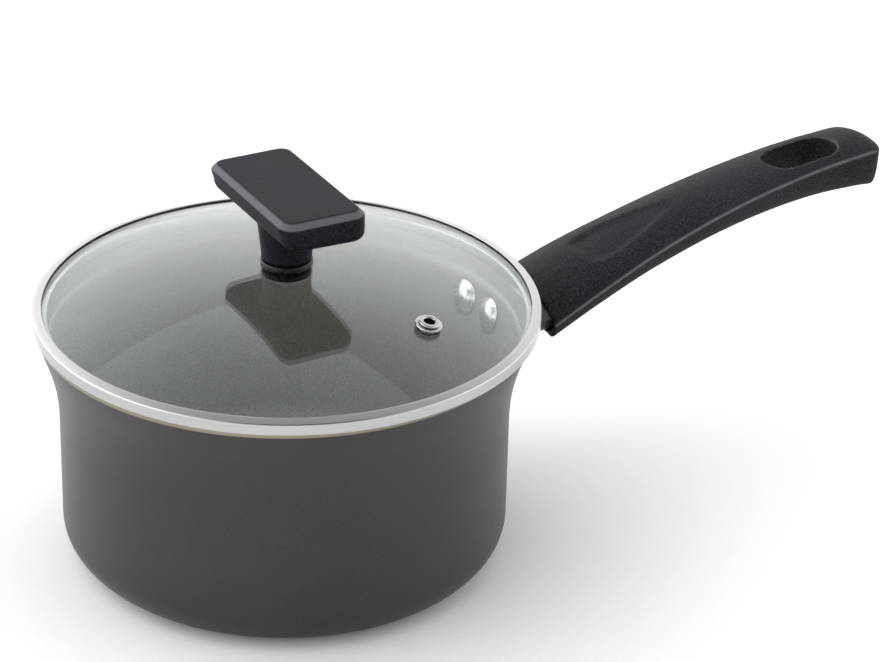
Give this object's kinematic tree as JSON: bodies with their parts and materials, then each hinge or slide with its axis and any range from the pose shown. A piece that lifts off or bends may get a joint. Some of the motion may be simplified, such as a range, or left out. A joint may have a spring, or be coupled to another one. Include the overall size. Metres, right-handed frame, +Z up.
{
  "type": "saucepan with glass lid",
  "caption": "Round saucepan with a flared rim, a riveted arched handle with a hanging slot, and a domed vented glass lid with a steel band and a bar-shaped knob.",
  "frame": {"origin": "centre of the pan's flat underside, on the pan's axis", "axes": "+Z up along the pan's axis, +X along the handle towards its tip, +Y to the left of someone who looks along the handle from the pan to the tip"},
  "size_m": [0.3566, 0.1862, 0.1446],
  "materials": {
    "pan_coating": "matte",
    "rivet_aluminium": "polished",
    "zinc_steel": "satin",
    "guard_steel": "satin",
    "handle_phenolic": "matte",
    "knob_phenolic": "satin",
    "lid_glass": "gloss",
    "band_steel": "polished",
    "silicone": "satin",
    "brass": "satin"
  },
  "bodies": {
    "pan": {"pan_body": "pan_coating", "rivet_left": "rivet_aluminium", "rivet_right": "rivet_aluminium", "handle_bracket": "zinc_steel", "flame_guard": "guard_steel", "handle_grip": "handle_phenolic", "handle_screw": "zinc_steel", "handle_screw_washer": "zinc_steel"},
    "lid": {"lid_glass": "lid_glass", "lid_band": "band_steel", "vent_eyelet": "band_steel", "vent_washer": "band_steel", "vent_gasket": "silicone", "knob_grip": "knob_phenolic", "knob_collar": "silicone", "knob_gasket": "silicone", "knob_insert": "brass", "knob_washer": "zinc_steel", "knob_lock_washer": "zinc_steel", "knob_screw": "zinc_steel"}
  },
  "joints": [
    {"name": "lid_lift", "type": "slide", "parent": "pan", "child": "lid", "axis": [0, 0, 1], "range_m": [0, 0.15]}
  ]
}
